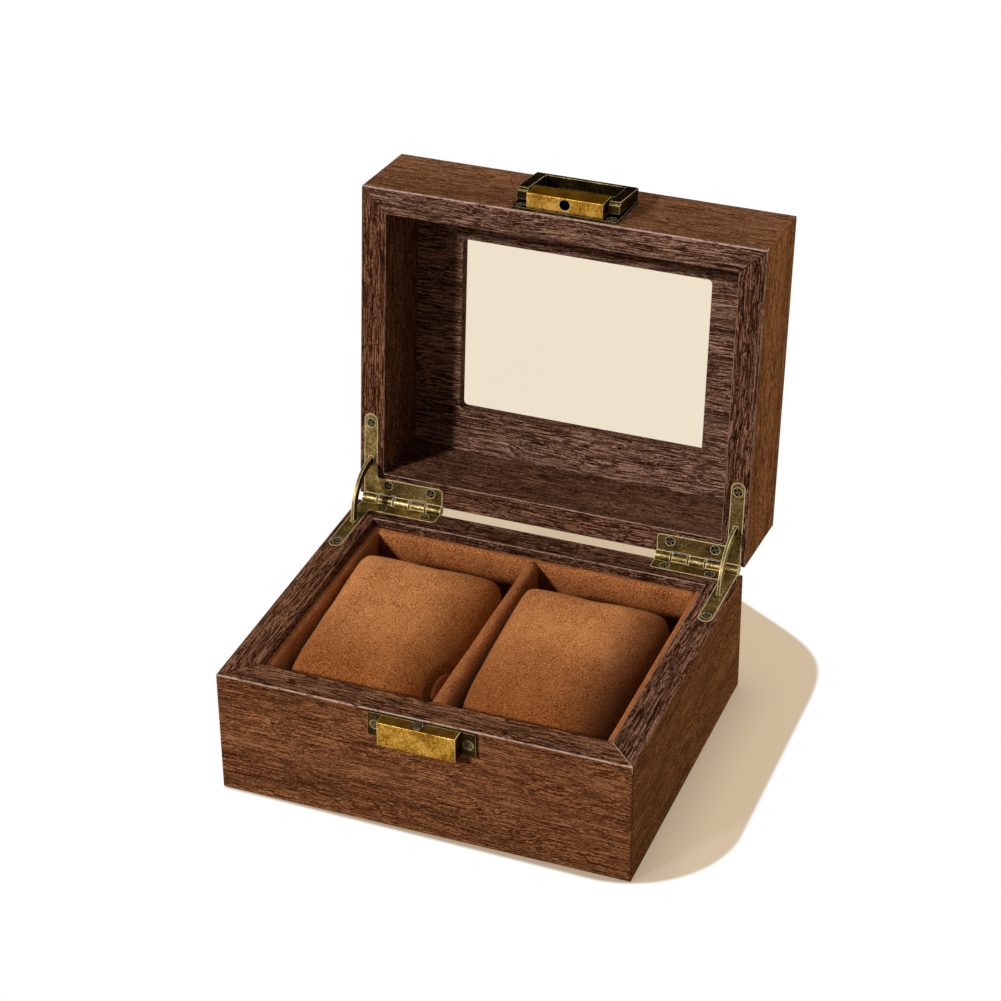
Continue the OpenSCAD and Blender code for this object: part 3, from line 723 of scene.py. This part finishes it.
# ---- Hinges -------------------------------------------------------------------------------
# Stay hinges of stamped brass with a dark antique finish rubbed back to bright metal at the
# edges and on the rolled knuckles; the pale edges are partly painted highlight. The curved
# stays slide through slots in both leaves.
leaf_edge = 0.00012
stay_edge = 0.00018
# Bends under the first are flat, those over the second are rubbed, and those over the third
# are shaded sharp
flat_bend = math.radians(1)
sharp_bend = math.radians(30)
shaded_bend = math.radians(32)
grit_relief = 0.00005
# Faces that lie further than this inside a piece's outline belong to a bore
bore_depth = 0.0004


def metal(name, dark, mid, bright, roughness, gloss=1.0, tops=0.0, rub_and_highlight=None):
    """Antiqued metal: a mottled dark patina over bright metal, with fine specks. gloss is
    how much of it mirrors, the rest being matt, tops how much darker its upper side is
    painted, as painted shade, and rub_and_highlight the width and the colour of the pale edges,
    partly where the patina has been rubbed away and partly painted highlight."""
    material, tree, skin = new_material(name)
    where = put(tree, "ShaderNodeTexCoord").outputs["Object"]
    cloud = stretched(tree, where, (160, 160, 160), Detail=3.0)
    grit = stretched(tree, where, (1300, 1300, 1300), Detail=2.0)
    tone = maths(tree, "MULTIPLY_ADD", grit, 0.5, maths(tree, "MULTIPLY", cloud, 0.5))
    colour = ramp(tree, tone, (0.36, dark), (0.50, mid), (0.66, bright))
    if tops:
        facing = put(tree, "ShaderNodeTexCoord").outputs["Normal"]
        facing = put(tree, "ShaderNodeSeparateXYZ", {0: facing}).outputs["Z"]
        top_shade = maths(tree, "MULTIPLY", smooth_step(tree, facing, 0.85, 0.98), tops)
        colour = blend(tree, top_shade, colour, dark)
    if rub_and_highlight:
        width, shade = rub_and_highlight
        rounded = put(tree, "ShaderNodeBevel", {"Radius": width}, samples=6).outputs[0]
        crisp = put(tree, "ShaderNodeNewGeometry").outputs["Normal"]
        bend = put(tree, "ShaderNodeVectorMath", {0: rounded, 1: crisp},
                   operation="DOT_PRODUCT").outputs["Value"]
        bend = smooth_step(tree, bend, 0.985, 0.95)
        colour = blend(tree, bend, colour, shade)
        gloss = maths(tree, "MULTIPLY_ADD", bend, -gloss, gloss)
    bump = put(tree, "ShaderNodeBump", {"Height": grit, "Strength": 0.35,
                                         "Distance": grit_relief})
    feed(tree, skin, {"Base Color": colour, "Normal": bump.outputs[0], "Metallic": gloss,
                      "Roughness": maths(tree, "MULTIPLY_ADD", tone, -0.25, roughness + 0.12),
                      "Specular Tint": [0.3 + 0.7 * channel for channel in mid]})
    return material


def eased(node, width, material, edge_material, body, bore_material=None):
    """A CAD piece with its sharp edges rubbed round, down to brighter metal that is partly
    painted highlight. Faces well inside its outline, as a bore has, may get a material of their
    own, such as a painted shade."""
    shape = bmesh.new()
    shape.from_mesh(nodes[node].data)
    bmesh.ops.remove_doubles(shape, verts=shape.verts, dist=tiny)
    bmesh.ops.dissolve_limit(shape, angle_limit=flat_bend, verts=shape.verts,
                             edges=shape.edges, use_dissolve_boundaries=False)
    sharp = [edge for edge in shape.edges
             if len(edge.link_faces) == 2 and edge.calc_face_angle() > sharp_bend]
    rubbed = round_edges(shape, sharp, width, 2, clamp_overlap=True)
    if bore_material:
        low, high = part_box(node)
        for face in shape.faces:
            middle = face.calc_center_median()
            if min(min(middle - low), min(high - middle)) > bore_depth:
                face.material_index = 2
    for face in rubbed["faces"]:
        face.material_index = 1
    made = piece(node + "_eased", shape, material, body, node)
    made.data.materials.append(edge_material)
    if bore_material:
        made.data.materials.append(bore_material)
    made.data.set_sharp_from_angle(angle=shaded_bend)
    level = made.modifiers.new("level", "WEIGHTED_NORMAL")
    level.keep_sharp = True


leaf_brass = metal("leaf_brass", rgb(70, 57, 29), rgb(124, 105, 62), rgb(180, 160, 112),
                   0.46, rub_and_highlight=(0.0007, rgb(244, 226, 172)))
# Pale metal for the eased edges, partly rubbed wear and partly painted highlight
rubbed_brass_highlight = metal("rubbed_brass_highlight", rgb(170, 146, 92), rgb(222, 200, 144),
                     rgb(250, 236, 194), 0.45, gloss=0.3)
for side in ("left", "right"):
    for part, edge, body in (("base_leaf", leaf_edge, "base"), ("lid_leaf", leaf_edge, "lid"),
                             ("stay", stay_edge, side + "_stay")):
        eased("hinge_%s_%s" % (side, part), edge, leaf_brass, rubbed_brass_highlight, body)
    finish(leaf_brass, "hinge_%s_pin" % side)

# ---- Screws -------------------------------------------------------------------------------
# Small countersunk cross-head screws, blackened, with the finish worn shiny on the rims, which
# are partly painted highlight. Each hinge leaf has three, and the latch and the catch have two
# each.
screw_edge = 0.00016
screw_black = metal("screw_black", rgb(18, 15, 10), rgb(44, 37, 25), rgb(104, 92, 68), 0.3,
                    rub_and_highlight=(0.00022, rgb(156, 145, 118)))
rubbed_steel_highlight = metal("rubbed_steel_highlight", rgb(130, 120, 98), rgb(180, 170, 144),
                     rgb(226, 216, 194), 0.45, gloss=0.3)
for name, body in (("hinge_left_base_screws", "base"), ("hinge_right_base_screws", "base"),
                   ("hinge_left_lid_screws", "lid"), ("hinge_right_lid_screws", "lid"),
                   ("latch_screws", "lid"), ("catch_screws", "base")):
    eased(name, screw_edge, screw_black, rubbed_steel_highlight, body)

# ---- Latch and catch ------------------------------------------------------------------------
# The lid's block carries a bail on two pivots, which swings down and hooks under the block on
# the base. Both blocks are mottled yellow brass on bronzed plates, and the bail is bronzed.
block_edge = 0.00022
plate_edge = 0.00015
bail_edge = 0.0002
# The blocks' upper faces are painted darker, as painted shade
block_brass = metal("block_brass", rgb(108, 74, 18), rgb(166, 124, 46), rgb(212, 172, 92), 0.34,
                    tops=0.4)
bronze = metal("bronze", rgb(20, 15, 7), rgb(45, 35, 19), rgb(86, 70, 40), 0.4,
               rub_and_highlight=(0.0003, rgb(160, 138, 84)))
rubbed_bronze_highlight = metal("rubbed_bronze_highlight", rgb(90, 76, 38), rgb(146, 126, 74),
                      rgb(206, 184, 124), 0.4, gloss=0.3)
# Painted shade: near-black for the inside of the latch block's bore, where shade falls
bore_shade = metal("bore_shade", rgb(4, 3, 2), rgb(10, 8, 5), rgb(22, 18, 12), 0.6)
stud_steel = metal("stud_steel", rgb(96, 88, 70), rgb(150, 140, 116), rgb(206, 198, 176), 0.3)
eased("latch_block", block_edge, block_brass, rubbed_brass_highlight, "lid", bore_shade)
eased("catch_block", block_edge, block_brass, rubbed_brass_highlight, "base")
eased("latch_plate", plate_edge, bronze, rubbed_bronze_highlight, "lid")
eased("catch_plate", plate_edge, bronze, rubbed_bronze_highlight, "base")
eased("latch_bail", bail_edge, bronze, rubbed_bronze_highlight, "bail")
finish(bronze, "latch_pins")
finish(stud_steel, "catch_stud")

# ---- Underside ------------------------------------------------------------------------------
# A sheet of dark felt is glued on under the floor board last of all, between the walls, so
# that the box doesn't scratch what it stands on.
finish(suede("underside_felt", rgb(24, 18, 14), rgb(58, 46, 38)), "base_felt")
